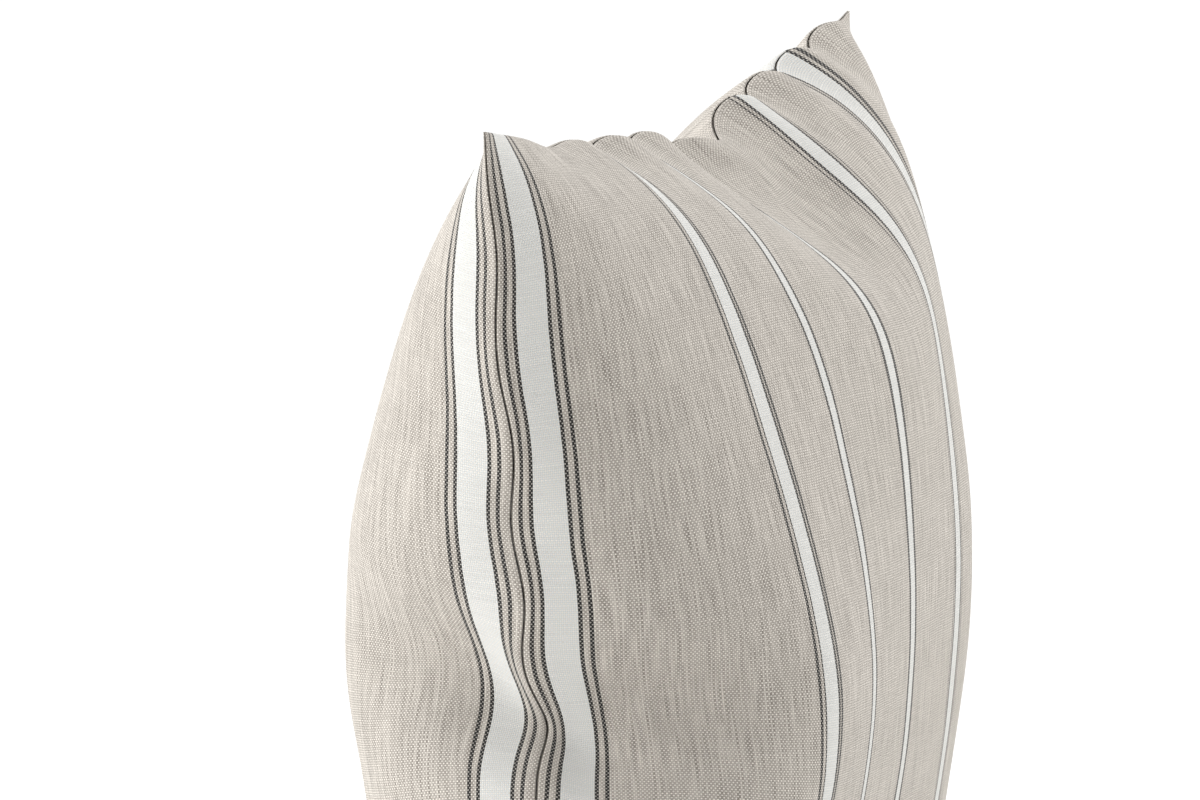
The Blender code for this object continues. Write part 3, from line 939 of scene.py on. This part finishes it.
class OBJECT_OT_pillow_stage(bpy.types.Operator):
    """Set up the pale floor, the soft light and the camera"""

    bl_idname = "object.pillow_stage"
    bl_label = "Studio"

    def execute(self, context):
        stage = context.scene.pillow_stage
        self.floor(stage)
        self.world(context)
        self.light("overhead", power=12.0, place=(0.5, 0.1, 2.6), width=2.2)
        self.light("left_softbox", power=58.0, place=(-1.2, 2.5, 0.9), width=2.0)
        self.light("right_softbox", power=15.0, place=(1.2, -2.4, 1.2), width=2.0)
        self.camera(context, stage)
        return {"FINISHED"}

    def floor(self, stage):
        """Uncoated paper: a pale, even ground with no shine. It is clear from below, and to light
        that starts within touching distance of it, so that the pillow's soles aren't black."""
        touching_distance = 0.02
        made, tree, shader = new_material("matt_paper", base_color=rgba(stage.paper), roughness=1.0)
        seen_from_below = add_node(tree, "ShaderNodeNewGeometry", out="Backfacing")
        run = add_node(tree, "ShaderNodeLightPath", out="Ray Length")
        touching = add_node(
            tree, "ShaderNodeMath", {0: run, 1: touching_distance}, operation="LESS_THAN"
        )
        open_floor = add_node(
            tree, "ShaderNodeMath", {0: seen_from_below, 1: touching}, operation="MAXIMUM"
        )
        clear = add_node(tree, "ShaderNodeBsdfTransparent")
        surface = add_node(
            tree, "ShaderNodeMixShader", {0: open_floor, 1: shader.outputs[0], 2: clear}
        )
        tree.links.new(surface, tree.nodes["Material Output"].inputs["Surface"])
        reach, below_soles = 30.0, 0.0002
        corners = [(-reach, -reach, 0), (reach, -reach, 0), (reach, reach, 0), (-reach, reach, 0)]
        floor = mesh_object("floor", corners, [(0, 1, 2, 3)])
        floor.location.z = -below_soles
        floor.data.materials.append(made)

    def world(self, context):
        """A white room, dim beside the near seam and bright beyond the pillow."""
        world = bpy.data.worlds.new("soft_white_room")
        context.scene.world = world
        world.use_nodes = True
        tree = world.node_tree
        sky = tree.nodes["Background"]
        sky.inputs["Color"].default_value = (1.0, 1.0, 1.0, 1.0)
        way = add_node(tree, "ShaderNodeTexCoord", out="Generated")
        beside = add_node(
            tree, "ShaderNodeVectorMath", {0: way, 1: (1.0, 0.25, 0.0)},
            operation="DOT_PRODUCT", out="Value",
        )
        strength = add_node(
            tree, "ShaderNodeMapRange",
            {"Value": beside, "From Min": -1.0, "From Max": 0.2, "To Min": 0.25, "To Max": 1.42},
        )
        tree.links.new(strength, sky.inputs["Strength"])
        context.scene.view_settings.view_transform = "Standard"

    def light(self, name, power, place, width):
        """A square soft light aimed at the middle of the pillow."""
        data = bpy.data.lights.new(name, "AREA")
        data.shape = "SQUARE"
        data.size = width
        data.energy = power
        lamp = bpy.data.objects.new(name, data)
        lamp.location = place
        aim = Vector((0, 0, CENTRE_Z)) - lamp.location
        lamp.rotation_mode = "QUATERNION"
        lamp.rotation_quaternion = aim.to_track_quat("-Z", "Y")
        lamp.visible_camera = False
        bpy.context.scene.collection.objects.link(lamp)

    def camera(self, context, stage):
        """A long lens, low and beside the near seam."""
        side, rise = stage.azimuth, stage.elevation
        level = math.cos(rise)
        back = Vector((math.sin(side) * level, -math.cos(side) * level, math.sin(rise)))
        right = Vector((math.cos(side), math.sin(side), 0))
        up = back.cross(right)
        aim = Vector((0, 0, CENTRE_Z)) + right * stage.aside + up * stage.above
        data = bpy.data.cameras.new("camera")
        data.sensor_width = 36
        data.lens = stage.lens
        data.clip_end = 100
        camera = bpy.data.objects.new("camera", data)
        camera.location = aim + back * stage.distance
        camera.rotation_mode = "QUATERNION"
        turn = Quaternion((0, 0, 1), stage.roll)
        camera.rotation_quaternion = (-back).to_track_quat("-Z", "Y") @ turn
        context.scene.collection.objects.link(camera)
        context.scene.camera = camera


STEPS = (
    OBJECT_OT_pillow_cover,
    OBJECT_OT_pillow_sewing,
    OBJECT_OT_pillow_insert,
    OBJECT_OT_pillow_zipper,
    OBJECT_OT_pillow_stage,
)


class VIEW3D_PT_pillow(bpy.types.Panel):
    """The pillow's sizes, colours and making steps"""

    bl_idname = "VIEW3D_PT_pillow"
    bl_label = "Throw pillow"
    bl_space_type = "VIEW_3D"
    bl_region_type = "UI"
    bl_category = "Pillow"

    def draw(self, context):
        for name, group in SETTINGS.items():
            box = self.layout.box()
            box.label(text=name.replace("_", " ").capitalize())
            for key in group.__annotations__:
                box.prop(getattr(context.scene, name), key)
        for step in STEPS:
            self.layout.operator(step.bl_idname)


CLASSES = (*SETTINGS.values(), *STEPS, VIEW3D_PT_pillow)


def register():
    for each in CLASSES:
        bpy.utils.register_class(each)
    for name, group in SETTINGS.items():
        setattr(bpy.types.Scene, name, PointerProperty(type=group))


def unregister():
    for name in SETTINGS:
        delattr(bpy.types.Scene, name)
    for each in reversed(CLASSES):
        bpy.utils.unregister_class(each)


def main():
    register()
    bpy.ops.object.pillow_cover()
    bpy.ops.object.pillow_sewing()
    bpy.ops.object.pillow_insert()
    bpy.ops.object.pillow_zipper()
    bpy.ops.object.pillow_stage()


if __name__ == "__main__":
    main()
